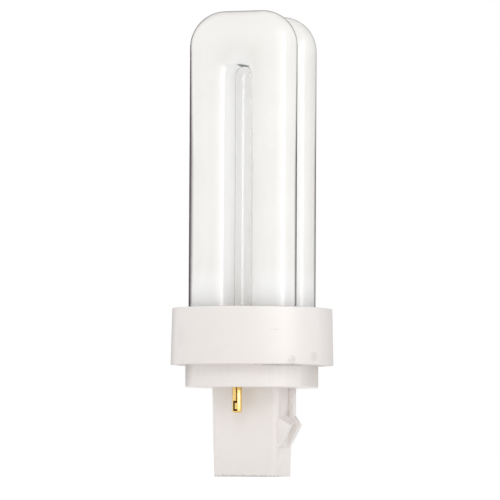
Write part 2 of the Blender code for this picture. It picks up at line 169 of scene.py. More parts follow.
def linked_object(name: str, data: bpy.types.ID) -> bpy.types.Object:
    """New object in the scene's collection.

    Args:
        name: Name of the object.
        data: Its mesh, light or camera.

    Returns:
        The object.
    """
    made = bpy.data.objects.new(name, data)
    bpy.context.scene.collection.objects.link(made)
    return made


def mesh_object(name: str, mesh: bmesh.types.BMesh) -> bpy.types.Object:
    """New object from a working mesh.

    Args:
        name: Name of the object.
        mesh: The working mesh, which is used up.

    Returns:
        The object.
    """
    data = bpy.data.meshes.new(name)
    mesh.to_mesh(data)
    mesh.free()
    return linked_object(name, data)


def make_plain(piece: bpy.types.Object) -> None:
    """Turn an object and its modifiers into a plain mesh.

    Args:
        piece: The object.
    """
    graph = bpy.context.evaluated_depsgraph_get()
    made = bpy.data.meshes.new_from_object(piece.evaluated_get(graph))
    piece.modifiers.clear()
    piece.data = made


@dataclass
class Workpiece:
    """A solid under construction, with the helper solids that join or cut it."""

    name: str
    mesh: bmesh.types.BMesh
    helpers: list[bpy.types.Object] = field(default_factory=list)

    def __post_init__(self) -> None:
        """Make the object that holds the mesh."""
        self.object = mesh_object(self.name, self.mesh)

    def combine(self, tool: "Workpiece", cut: Cut) -> "Workpiece":
        """Join or cut this solid with another one.

        Args:
            tool: The other solid, which is used up.
            cut: Whether it joins or cuts.

        Returns:
            This workpiece.
        """
        step = self.object.modifiers.new(tool.name, "BOOLEAN")
        step.operation = cut.value
        step.object = tool.object
        step.solver = "EXACT"
        self.helpers += [tool.object, *tool.helpers]
        return self

    def round_edges(self, width: float, angle: float, segments: int = 3, harden: bool = False) -> "Workpiece":
        """Round the edges that are sharper than an angle in degrees.

        Args:
            width: Width of the rounding.
            angle: Least angle between the faces of a rounded edge.
            segments: Number of faces across the rounding.
            harden: Whether the flat faces keep flat shading.

        Returns:
            This workpiece.
        """
        bevel = self.object.modifiers.new("rounding", "BEVEL")
        bevel.width = width
        bevel.segments = segments
        bevel.limit_method = "ANGLE"
        bevel.angle_limit = math.radians(angle)
        bevel.harden_normals = harden
        return self

    def settle(self) -> "Workpiece":
        """Turn the steps so far into a plain mesh and drop the helper solids.

        Returns:
            This workpiece.
        """
        make_plain(self.object)
        for helper in self.helpers:
            bpy.data.objects.remove(helper, do_unlink=True)
        self.helpers.clear()
        return self

    def merge_flats(self, angle: float = 0.2, reach: float = 0.002 * MM) -> "Workpiece":
        """Melt the seams inside flat faces, so that only real edges are left to round.

        Args:
            angle: Greatest angle in degrees between faces that become one.
            reach: Distance within which corners become one.

        Returns:
            This workpiece.
        """
        mesh = bmesh.new()
        mesh.from_mesh(self.object.data)
        bmesh.ops.remove_doubles(mesh, verts=mesh.verts, dist=reach)
        bmesh.ops.dissolve_limit(mesh, angle_limit=math.radians(angle), verts=mesh.verts, edges=mesh.edges)
        mesh.to_mesh(self.object.data)
        mesh.free()
        return self

    def dress(self, finish: bpy.types.Material, crisp_angle: float = 30.0) -> bpy.types.Object:
        """Shade smooth apart from the sharp edges, and add the finish.

        Args:
            finish: Material of the piece.
            crisp_angle: Least angle in degrees of an edge that stays crisp.

        Returns:
            The finished object.
        """
        self.object.data.shade_smooth()
        self.object.data.set_sharp_from_angle(angle=math.radians(crisp_angle))
        self.object.data.materials.append(finish)
        return self.object


def prism(name: str, rings: Sequence[Sequence[Point]]) -> Workpiece:
    """Workpiece lofted through rings."""
    return Workpiece(name, loft(rings))


def slab(name: str, profile: Sequence[tuple[float, float]], near: float, far: float) -> Workpiece:
    """Workpiece from an X-Z profile stretched along Y."""
    return Workpiece(name, loft([[(x, y, z) for x, z in profile] for y in (near, far)]))


def round_cutter(name: str, radius: float, centre: tuple[float, float], levels: Span,
                 sides: int = 96) -> Workpiece:
    """Upright round cutter.

    Args:
        name: Name of the cutter.
        radius: Its radius.
        centre: Place of its axis.
        levels: Lowest and highest level.
        sides: Number of its sides.

    Returns:
        The cutter.
    """
    return prism(name, [at_level(circle(radius, sides), level, centre) for level in levels])


def put_on(piece: bpy.types.Object, slot: str, *nodes: str) -> bpy.types.Object:
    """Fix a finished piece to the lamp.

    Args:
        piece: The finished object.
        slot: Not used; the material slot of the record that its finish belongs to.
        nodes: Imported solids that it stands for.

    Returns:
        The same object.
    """
    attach(piece, BODY)
    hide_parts(*nodes)
    LOG.info("piece %s: %d faces", piece.name, len(piece.data.polygons))
    return piece


# Node trees.


class Value:
    """A number in a node tree that takes the arithmetic signs like a plain number."""

    def __init__(self, maker: "NodeMaker", socket: bpy.types.NodeSocket) -> None:
        """Keep the socket and the maker of its tree."""
        self.maker = maker
        self.socket = socket

    def __add__(self, other: object) -> "Value":
        """Sum with another value."""
        return self.maker.math("ADD", self, other)

    def __sub__(self, other: object) -> "Value":
        """Difference from another value."""
        return self.maker.math("SUBTRACT", self, other)

    def __rsub__(self, other: object) -> "Value":
        """A plain number less this value."""
        return self.maker.math("SUBTRACT", other, self)

    def __mul__(self, other: object) -> "Value":
        """Product with another value."""
        return self.maker.math("MULTIPLY", self, other)

    def __truediv__(self, other: object) -> "Value":
        """This value divided by another one."""
        return self.maker.math("DIVIDE", self, other)

    def __pow__(self, other: object) -> "Value":
        """This value raised to a power."""
        return self.maker.math("POWER", self, other)

    def __lt__(self, other: object) -> "Value":
        """1 where this value is less than another one, and 0 elsewhere."""
        return self.maker.math("LESS_THAN", self, other)


class NodeMaker:
    """Adds nodes and links to a node tree."""

    def __init__(self, tree: bpy.types.NodeTree) -> None:
        """Keep the tree to build in."""
        self.tree = tree

    def add(self, kind: str, **settings: object) -> bpy.types.Node:
        """Add a node.

        Args:
            kind: Blender's name for the node type.
            settings: Properties of the node to set.

        Returns:
            The new node.
        """
        node = self.tree.nodes.new(kind)
        for name, value in settings.items():
            setattr(node, name, value)
        return node

    def feed(self, socket: bpy.types.NodeSocket, value: object) -> None:
        """Link a value or another socket into a socket, or set its plain value.

        Args:
            socket: The socket to feed.
            value: A value, a socket or a plain value.
        """
        source = value.socket if isinstance(value, Value) else value
        if isinstance(source, bpy.types.NodeSocket):
            self.tree.links.new(source, socket)
        else:
            socket.default_value = source

    def fed(self, kind: str, **values: object) -> bpy.types.Node:
        """Add a node and feed its inputs.

        Args:
            kind: Blender's name for the node type.
            values: Values by input name, with _ for each space.

        Returns:
            The new node.
        """
        node = self.add(kind)
        for name, value in values.items():
            self.feed(node.inputs[name.replace("_", " ")], value)
        return node

    def math(self, operation: str, *values: object) -> Value:
        """Result of an arithmetic step.

        Args:
            operation: Name of the arithmetic step.
            values: Values, sockets or plain numbers.

        Returns:
            The result.
        """
        node = self.add("ShaderNodeMath", operation=operation)
        for socket, value in zip(node.inputs, values):
            self.feed(socket, value)
        return Value(self, node.outputs[0])

    def vector_math(self, operation: str, *values: object) -> Value:
        """Result of an arithmetic step on places.

        Args:
            operation: Name of the arithmetic step.
            values: One or two places.

        Returns:
            The new place, or the length of one.
        """
        node = self.add("ShaderNodeVectorMath", operation=operation)
        for socket, value in zip(node.inputs, values):
            self.feed(socket, value)
        return Value(self, node.outputs["Value" if operation == "LENGTH" else "Vector"])

    def remap(self, value: object, start: object, end: object, low: float = 0.0, high: float = 1.0,
              smooth: bool = False) -> Value:
        """Value carried from one range to another and held at its ends.

        Args:
            value: The value to read.
            start: Value that gives low.
            end: Value that gives high.
            low: First end of the new range.
            high: Second end of the new range.
            smooth: Whether the way between them is eased.

        Returns:
            The new value.
        """
        node = self.add("ShaderNodeMapRange", interpolation_type="SMOOTHSTEP" if smooth else "LINEAR")
        for name, number in (("Value", value), ("From Min", start), ("From Max", end),
                             ("To Min", low), ("To Max", high)):
            self.feed(node.inputs[name], number)
        return Value(self, node.outputs["Result"])

    def mix(self, factor: object, first: object, second: object) -> bpy.types.NodeSocket:
        """Blend of two colours, each a socket or three plain numbers.

        Args:
            factor: Share of the second colour.
            first: First colour.
            second: Second colour.

        Returns:
            The socket with the blend.
        """
        node = self.add("ShaderNodeMix", data_type="RGBA")
        self.feed(node.inputs["Factor"], factor)
        for socket, tint in ((node.inputs[6], first), (node.inputs[7], second)):
            self.feed(socket, colour(tint) if isinstance(tint, tuple) else tint)
        return node.outputs[2]

    def noise(self, place: object, scale: object, detail: float = 2.0, roughness: float = 0.5) -> Value:
        """Soft random value from 0 to 1 over a surface.

        Args:
            place: Place on the surface.
            scale: Number of waves in a metre.
            detail: Number of finer layers.
            roughness: Strength of the finer layers.

        Returns:
            The random value.
        """
        node = self.fed("ShaderNodeTexNoise", Vector=place, Scale=scale, Detail=detail, Roughness=roughness)
        return Value(self, node.outputs["Fac"])

    def split(self, place: object) -> tuple[Value, Value, Value]:
        """X, Y and Z of a place."""
        node = self.fed("ShaderNodeSeparateXYZ", Vector=place)
        return tuple(Value(self, socket) for socket in node.outputs)

    def joined(self, x: object = 0.0, y: object = 0.0, z: object = 0.0) -> Value:
        """Place with a given X, Y and Z."""
        return Value(self, self.fed("ShaderNodeCombineXYZ", X=x, Y=y, Z=z).outputs["Vector"])

    def stretched(self, place: object, scale: object) -> Value:
        """Place scaled along each axis."""
        return Value(self, self.fed("ShaderNodeMapping", Vector=place, Scale=scale).outputs["Vector"])

    def values_of(self, node: bpy.types.Node) -> dict[str, Value]:
        """Values that come out of a node, by name."""
        return {socket.name: Value(self, socket) for socket in node.outputs if socket.name}

    def shape(self, kind: str, mesh: object, **values: object) -> bpy.types.NodeSocket:
        """Mesh after one more step, whose other inputs are given by name."""
        return self.fed(kind, Geometry=mesh, **values).outputs["Geometry"]

    def distance(self, first: Value, second: Value) -> Value:
        """Length of the long side of a right triangle with two given short sides."""
        return self.math("SQRT", first ** 2.0 + second ** 2.0)


def colour(values: Colour) -> tuple[float, float, float, float]:
    """Opaque colour with four channels."""
    return (*values, 1.0)


class Effect(Enum):
    """Surface effects that several finishes share."""

    GRAIN = "moulded_grain"
    SMUDGE = "handling_smudge"
    WAVE = "drawn_wave"


class EffectShop:
    """Builds each shared surface effect once, as a shader node group."""

    def __init__(self) -> None:
        """Start with no effect built."""
        self.built: dict[Effect, bpy.types.NodeTree] = {}

    def group(self, effect: Effect) -> bpy.types.NodeTree:
        """Node group of an effect.

        Args:
            effect: Which effect.

        Returns:
            The group, built on first use.
        """
        if effect not in self.built:
            makers: dict[Effect, Callable[[], bpy.types.NodeTree]] = {
                Effect.GRAIN: self.moulded_grain,
                Effect.SMUDGE: self.handling_smudge,
                Effect.WAVE: self.drawn_wave,
            }
            self.built[effect] = makers[effect]()
        return self.built[effect]

    def new_group(self, effect: Effect, inputs: Iterable[tuple[str, float]],
                  outputs: Iterable[str]) -> tuple[NodeMaker, dict[str, Value], bpy.types.Node]:
        """Empty group with named sockets.

        Args:
            effect: The effect that the group is for.
            inputs: Name and starting value of each number that goes in.
            outputs: Name of each value that comes out.

        Returns:
            The node maker, the values that come in by name and the output node.
        """
        tree = bpy.data.node_groups.new(effect.value, "ShaderNodeTree")
        tree.interface.new_socket("Position", in_out="INPUT", socket_type="NodeSocketVector")
        for name, start in inputs:
            socket = tree.interface.new_socket(name, in_out="INPUT", socket_type="NodeSocketFloat")
            socket.default_value = start
        for name in outputs:
            tree.interface.new_socket(name, in_out="OUTPUT", socket_type="NodeSocketFloat")
        maker = NodeMaker(tree)
        entry = maker.add("NodeGroupInput")
        leave = maker.add("NodeGroupOutput")
        return maker, maker.values_of(entry), leave

    def moulded_grain(self) -> bpy.types.NodeTree:
        """Fine spark-eroded grain of moulded plastic, with slow flow variation.

        Returns:
            The group.
        """
        maker, entry, leave = self.new_group(
            Effect.GRAIN, (("Grain Scale", 5200.0), ("Flow Scale", 90.0)), ("Height", "Flow"))
        grain = maker.noise(entry["Position"], entry["Grain Scale"], 3.0, 0.6)
        coarse = maker.noise(entry["Position"], entry["Grain Scale"] * 0.28, 1.0)
        maker.feed(leave.inputs["Height"], grain * 0.7 + coarse * 0.3)
        maker.feed(leave.inputs["Flow"], maker.noise(entry["Position"], entry["Flow Scale"]))
        return maker.tree

    def handling_smudge(self) -> bpy.types.NodeTree:
        """Faint rubbed and dusty patches from handling, as a mask.

        Returns:
            The group.
        """
        maker, entry, leave = self.new_group(
            Effect.SMUDGE, (("Patch Scale", 120.0), ("Threshold", 0.62)), ("Mask", "Streak"))
        patch = maker.noise(entry["Position"], entry["Patch Scale"], 4.0, 0.62)
        mask = maker.remap(patch, entry["Threshold"], entry["Threshold"] + 0.12, smooth=True)
        maker.feed(leave.inputs["Mask"], mask)
        upright = maker.stretched(entry["Position"], (1.0, 1.0, 0.12))
        maker.feed(leave.inputs["Streak"], maker.noise(upright, 900.0))
        return maker.tree

    def drawn_wave(self) -> bpy.types.NodeTree:
        """Slow unevenness along drawn glass or rolled metal.

        Returns:
            The group.
        """
        maker, entry, leave = self.new_group(
            Effect.WAVE, (("Across Scale", 160.0), ("Along Share", 0.12)), ("Height", "Fine"))
        drawn = maker.stretched(entry["Position"], maker.joined(1.0, 1.0, entry["Along Share"]))
        maker.feed(leave.inputs["Height"], maker.noise(drawn, entry["Across Scale"], 1.0))
        maker.feed(leave.inputs["Fine"], maker.noise(drawn, entry["Across Scale"] * 9.0))
        return maker.tree


EFFECTS = EffectShop()


# Finishes.


class Finish:
    """What every finish shares: a Principled material on Object coordinates."""

    name: str

    def start(self) -> tuple[bpy.types.Material, NodeMaker, bpy.types.Node, bpy.types.NodeSocket]:
        """Make an empty Principled material.

        Returns:
            The material, its node maker, its shader and the place on the surface.
        """
        material = bpy.data.materials.new(self.name)
        material.use_nodes = True
        maker = NodeMaker(material.node_tree)
        shader = material.node_tree.nodes["Principled BSDF"]
        place = maker.add("ShaderNodeTexCoord").outputs["Object"]
        return material, maker, shader, place

    def effect(self, maker: NodeMaker, effect: Effect, place: bpy.types.NodeSocket,
               **values: float) -> dict[str, Value]:
        """Place a shared effect in this finish.

        Args:
            maker: Node maker of the material.
            effect: Which effect.
            place: Socket with the place on the surface.
            values: Inputs of the effect, with _ for each space.

        Returns:
            The values that come out, by name.
        """
        node = maker.add("ShaderNodeGroup", node_tree=EFFECTS.group(effect))
        maker.feed(node.inputs["Position"], place)
        for name, value in values.items():
            node.inputs[name.replace("_", " ")].default_value = value
        return maker.values_of(node)

    def cover(self, maker: NodeMaker, shader: bpy.types.Node, tint: object, rough: object, height: object,
              depth: float, strength: float) -> None:
        """Feed the shader's colour, roughness and normal.

        Args:
            maker: Node maker of the material.
            shader: The Principled shader.
            tint: Colour of the surface.
            rough: Roughness of the surface.
            height: Height from 0 to 1.
            depth: Height of a full step in metres.
            strength: Share of the bump that shows.
        """
        bump = maker.fed("ShaderNodeBump", Distance=depth, Strength=strength, Height=height)
        for name, value in (("Base Color", tint), ("Roughness", rough), ("Normal", bump.outputs["Normal"])):
            maker.feed(shader.inputs[name], value)


@dataclass(frozen=True)
class Stroke:
    """A thin slanting stroke of painted shade under the bend of the front U, and turned half round on the
    back U.

    Each end has its distance to the right of the lamp's axis, as the camera sees it, and its level.
    """

    start: float
    start_level: float
    end: float
    end_level: float
    thickness: float
    strength: float


@dataclass(frozen=True)
class CoatedGlass(Finish):
    """Clear glass over a white powder coating, seen as a gloss white, with painted shade at its rim, crown
    and bends and painted light inside.
    """

    name: str = "coated_glass"
    powder: Colour = (0.800, 0.781, 0.748)
    # Darker powder, mixed in at random and over all of the top.
    powder_darker: Colour = (0.766, 0.746, 0.714)
    # Painted shade: darker powder at the crown of the bends.
    powder_crown_painted_shade: Colour = (0.73, 0.705, 0.675)
    # Painted light: brighter powder on the inner faces of the legs and near the collar.
    powder_painted_light: Colour = (0.982, 0.977, 0.967)
    # Painted shade at the rim of the tubes, standing for dark reflections in the clear glass.
    rim_painted_shade: Colour = (0.090, 0.070, 0.080)
    # Painted shade in the strokes under the bends.
    crease_painted_shade: Colour = (0.035, 0.060, 0.050)
    mottle_scale: float = 70.0
    darker_levels: Span = (90.0 * MM, 108.0 * MM)
    crown_levels: Span = (111.0 * MM, 116.5 * MM)
    cover_levels: Span = (107.0 * MM, 112.0 * MM)
    collar_levels: Span = (44.5 * MM, 55.0 * MM)
    outside: Span = (10.5 * MM, 14.0 * MM)
    rim_range: Span = (0.50, 0.80)
    rim_strength: float = 0.95
    rim_levels: Span = (113.0 * MM, 80.0 * MM)
    rim_lift: Span = (-0.16, 0.035)
    left_reach: Span = (-2.0 * MM, -9.0 * MM)
    left_levels: Span = (114.0 * MM, 107.0 * MM)
    left_lift: float = 0.12
    back_reach: Span = (2.0 * MM, 8.0 * MM)
    back_lift: float = -0.06
    crown_lift: float = 0.10
    crown_rim: float = 0.8
    crease_outside: Span = (6.8 * MM, 8.2 * MM)
    crease_edge: Span = (0.35, 1.0)
    crease_strokes: tuple[Stroke, ...] = (
        Stroke(-4.25 * MM, 104.12 * MM, -1.0 * MM, 103.55 * MM, 0.40 * MM, 0.90),
        Stroke(-1.45 * MM, 103.9 * MM, -0.75 * MM, 102.3 * MM, 0.70 * MM, 0.35))
    refraction: float = 1.55
    gloss: Span = (0.08, 0.13)
    glow_through: float = 1.0
    glow_depth: float = 25.0 * MM
    wave_scale: float = 120.0
    wave_share: float = 0.10
    wave_depth: float = 0.03 * MM
    wave_strength: float = 0.5

    def material(self) -> bpy.types.Material:
        """Build the material.

        Returns:
            The material.
        """
        material, maker, shader, place = self.start()
        x, y, z = maker.split(place)
        around = maker.remap(maker.distance(x, y), *self.outside, smooth=True)
        crown = maker.remap(z, *self.crown_levels, smooth=True)
        wave = self.effect(maker, Effect.WAVE, place, Across_Scale=self.wave_scale,
                           Along_Share=self.wave_share)
        # Painted shade at the rim of the tubes, laid over the powder.
        rimmed = maker.mix(self.painted_rim_shade_mask(maker, x, y, z, around, crown * self.crown_rim),
                           self.powder_tint(maker, place, z, around, crown), self.rim_painted_shade)
        # Painted shade in two slanting strokes under the bends.
        tint = maker.mix(self.painted_crease_shade(maker, x, y, z), rimmed, self.crease_painted_shade)
        self.cover(maker, shader, tint, maker.remap(wave["Fine"], *NOISE_SPAN, *self.gloss), wave["Height"],
                   self.wave_depth, self.wave_strength)
        shader.inputs["IOR"].default_value = self.refraction
        shader.inputs["Subsurface Weight"].default_value = self.glow_through
        shader.inputs["Subsurface Radius"].default_value = (1.0, 1.0, 1.0)
        shader.inputs["Subsurface Scale"].default_value = self.glow_depth
        return material

    def powder_tint(self, maker: NodeMaker, place: bpy.types.NodeSocket, z: Value, around: Value,
                    crown: Value) -> bpy.types.NodeSocket:
        """Colour of the powder, with painted light where the legs face each other and near the collar, and
        painted shade at the crown.

        Args:
            maker: Node maker of the material.
            place: Socket with the place on the surface.
            z: Level of the place.
            around: Mask of the outer side of the group of legs.
            crown: Mask of the top of the bends.

        Returns:
            The socket with the colour.
        """
        # Darker towards the top, and in random patches below.
        mottle = maker.math("MAXIMUM", maker.remap(maker.noise(place, self.mottle_scale, 3.0), *FLOW_SPAN),
                            maker.remap(z, *self.darker_levels, smooth=True))
        # Painted shade at the crown of the bends.
        outer = maker.mix(crown, maker.mix(mottle, self.powder, self.powder_darker), self.powder_crown_painted_shade)
        # Painted light on the inner faces of the legs and just above the collar.
        covered = maker.math("MAXIMUM", around, maker.remap(z, *self.cover_levels))
        above_collar = maker.remap(z, *self.collar_levels, smooth=True)
        return maker.mix(covered * above_collar, self.powder_painted_light, outer)

    def painted_rim_shade_mask(self, maker: NodeMaker, x: Value, y: Value, z: Value, around: Value, crown: Value) -> Value:
        """Mask of the painted shade at the edges of the tubes, which stands for dark reflections in their
        clear glass.

        Args:
            maker: Node maker of the material.
            x: Place along X.
            y: Place along Y.
            z: Level of the place.
            around: Mask of the outer side of the group of legs.
            crown: Share of the rim that shows at the top of the bends.

        Returns:
            The mask.
        """
        facing = Value(maker, maker.fed("ShaderNodeLayerWeight", Blend=0.5).outputs["Facing"])
        left = maker.remap(x, *self.left_reach, 0.0, self.left_lift) * maker.remap(z, *self.left_levels)
        lift = maker.remap(z, *self.rim_levels, *self.rim_lift) + left
        lift = lift + maker.remap(y, *self.back_reach, 0.0, self.back_lift) + crown * self.crown_lift
        edge = maker.remap(facing + lift, *self.rim_range, 0.0, self.rim_strength, smooth=True)
        return edge * maker.math("MAXIMUM", around, crown)

    def painted_crease_shade(self, maker: NodeMaker, x: Value, y: Value, z: Value) -> Value:
        """Mask of painted shade in two slanting strokes under the tight inside of each bend.

        Args:
            maker: Node maker of the material.
            x: Place along X.
            y: Place along Y.
            z: Level of the place.

        Returns:
            The mask.
        """
        seen = x * math.cos(VIEW_TURN) + y * math.sin(VIEW_TURN)
        across = seen * (maker.math("SIGN", y) * -1.0)
        outside = maker.remap(maker.math("ABSOLUTE", y), *self.crease_outside, smooth=True)
        strokes = []
        for stroke in self.crease_strokes:
            share = maker.remap(across, stroke.start, stroke.end)
            level = maker.remap(across, stroke.start, stroke.end, stroke.start_level, stroke.end_level)
            bulge = share * (1.0 - share) * (4.0 * stroke.thickness)
            ratio = maker.math("ABSOLUTE", z - level) / (bulge + 0.001 * MM)
            strokes.append(maker.remap(ratio, *self.crease_edge, stroke.strength, 0.0, smooth=True))
        return outside * maker.math("MAXIMUM", *strokes)


@dataclass(frozen=True)
class Spot:
    """A rubbed or dirty spot, or a patch of painted shade: its middle, half of its size along each axis and
    the share of its dark colour.
    """

    centre: Point
    size: Point
    strength: float


@dataclass(frozen=True)
class MouldedPlastic(Finish):
    """White satin moulded plastic with a fine grain, faint marks of handling and spots of dirt and of painted
    shade.
    """

    name: str
    body: Colour
    gloss: Span
    spots: tuple[Spot, ...]
    marked: Colour = (0.70, 0.685, 0.67)
    # Dark colour of the dirt spots and of the painted shade patches.
    dirt_and_painted_shade: Colour = (0.40, 0.36, 0.35)
    mark_strength: float = 0.18
    flow_strength: float = 0.10
    streak_strength: float = 0.06
    grain_scale: float = 5200.0
    flow_scale: float = 85.0
    patch_scale: float = 130.0
    patch_threshold: float = 0.60
    fray_scale: float = 1400.0
    fray: float = 0.35
    spot_edge: Span = (0.35, 1.05)
    refraction: float = 1.57
    grain_depth: float = 0.006 * MM
    grain_strength: float = 0.3

    def material(self) -> bpy.types.Material:
        """Build the material.

        Returns:
            The material.
        """
        material, maker, shader, place = self.start()
        grain = self.effect(maker, Effect.GRAIN, place, Grain_Scale=self.grain_scale,
                            Flow_Scale=self.flow_scale)
        smudge = self.effect(maker, Effect.SMUDGE, place, Patch_Scale=self.patch_scale,
                             Threshold=self.patch_threshold)
        flow = maker.remap(grain["Flow"], *FLOW_SPAN, 0.0, self.flow_strength)
        tint = maker.mix(flow, self.body, self.marked)
        tint = maker.mix(smudge["Mask"] * self.mark_strength, tint, self.marked)
        ragged = maker.remap(maker.noise(place, self.fray_scale, 3.0), *NOISE_SPAN, -self.fray, self.fray)
        # Each spot blends in the dark colour: dirt on the collar, painted shade on the base.
        for spot in self.spots:
            away = maker.vector_math("DIVIDE", maker.vector_math("SUBTRACT", place, spot.centre), spot.size)
            reach = maker.vector_math("LENGTH", away) + ragged
            mask = maker.remap(reach, *self.spot_edge, spot.strength, 0.0, smooth=True)
            tint = maker.mix(mask, tint, self.dirt_and_painted_shade)
        rough = maker.remap(grain["Height"], *NOISE_SPAN, *self.gloss)
        rough = rough + smudge["Streak"] * self.streak_strength
        self.cover(maker, shader, tint, rough, grain["Height"], self.grain_depth, self.grain_strength)
        shader.inputs["IOR"].default_value = self.refraction
        return material


@dataclass(frozen=True)
class RolledBrass(Finish):
    """Bright rolled brass with fine draw lines, tarnish in patches and painted shade in its cuts."""

    name: str = "rolled_brass"
    bright: Colour = (0.87, 0.62, 0.22)
    tarnish: Colour = (0.50, 0.27, 0.06)
    # Painted shade in the cuts of the pin.
    dirt_and_painted_shade: Colour = (0.10, 0.035, 0.010)
    tarnish_strength: float = 0.5
    patch_scale: float = 700.0
    patch_threshold: float = 0.55
    gloss: Span = (0.14, 0.28)
    line_scale: float = 1400.0
    line_share: float = 0.06
    line_depth: float = 0.004 * MM
    line_strength: float = 0.8
    cut_radii: Span = (1.10 * MM, 0.95 * MM)
    cut_levels: Span = (PIN_TIP + 0.1 * MM, PIN_TIP + 0.5 * MM)

    def material(self) -> bpy.types.Material:
        """Build the material.

        Returns:
            The material.
        """
        material, maker, shader, place = self.start()
        x, y, z = maker.split(place)
        from_axis = maker.distance(x, maker.math("ABSOLUTE", y) - PIN_OFFSET)
        # Painted shade inside the cuts, darkest deep in the pin.
        cut = maker.remap(from_axis, *self.cut_radii, smooth=True) * maker.remap(z, *self.cut_levels)
        smudge = self.effect(maker, Effect.SMUDGE, place, Patch_Scale=self.patch_scale,
                             Threshold=self.patch_threshold)
        wave = self.effect(maker, Effect.WAVE, place, Across_Scale=self.line_scale,
                           Along_Share=self.line_share)
        aged = maker.mix(smudge["Mask"] * self.tarnish_strength, self.bright, self.tarnish)
        self.cover(maker, shader, maker.mix(cut, aged, self.dirt_and_painted_shade),
                   maker.remap(wave["Fine"], *NOISE_SPAN, *self.gloss), wave["Height"],
                   self.line_depth, self.line_strength)
        shader.inputs["Metallic"].default_value = 1.0
        return material


@dataclass(frozen=True)
class PlainPart(Finish):
    """Finish of a part inside the base, with grain and colour variation of its own."""

    name: str
    body: Colour
    varied: Colour
    gloss: Span
    metallic: float = 0.0
    variation_scale: float = 400.0
    grain_scale: float = 3000.0
    grain_depth: float = 0.01 * MM
    grain_strength: float = 0.8

    def material(self) -> bpy.types.Material:
        """Build the material.

        Returns:
            The material.
        """
        material, maker, shader, place = self.start()
        grain = self.effect(maker, Effect.GRAIN, place, Grain_Scale=self.grain_scale,
                            Flow_Scale=self.variation_scale)
        self.cover(maker, shader, maker.mix(maker.remap(grain["Flow"], *NOISE_SPAN), self.body, self.varied),
                   maker.remap(grain["Height"], *NOISE_SPAN, *self.gloss), grain["Height"],
                   self.grain_depth, self.grain_strength)
        shader.inputs["Metallic"].default_value = self.metallic
        return material


# Glass.

TUBE_SIZES = ("Leg Offset", "Tube Radius", "Lamp Length", "Bend Depth", "Bend Corner",
              "End Level", "End Dome", "Cross Radius", "Cross Level")


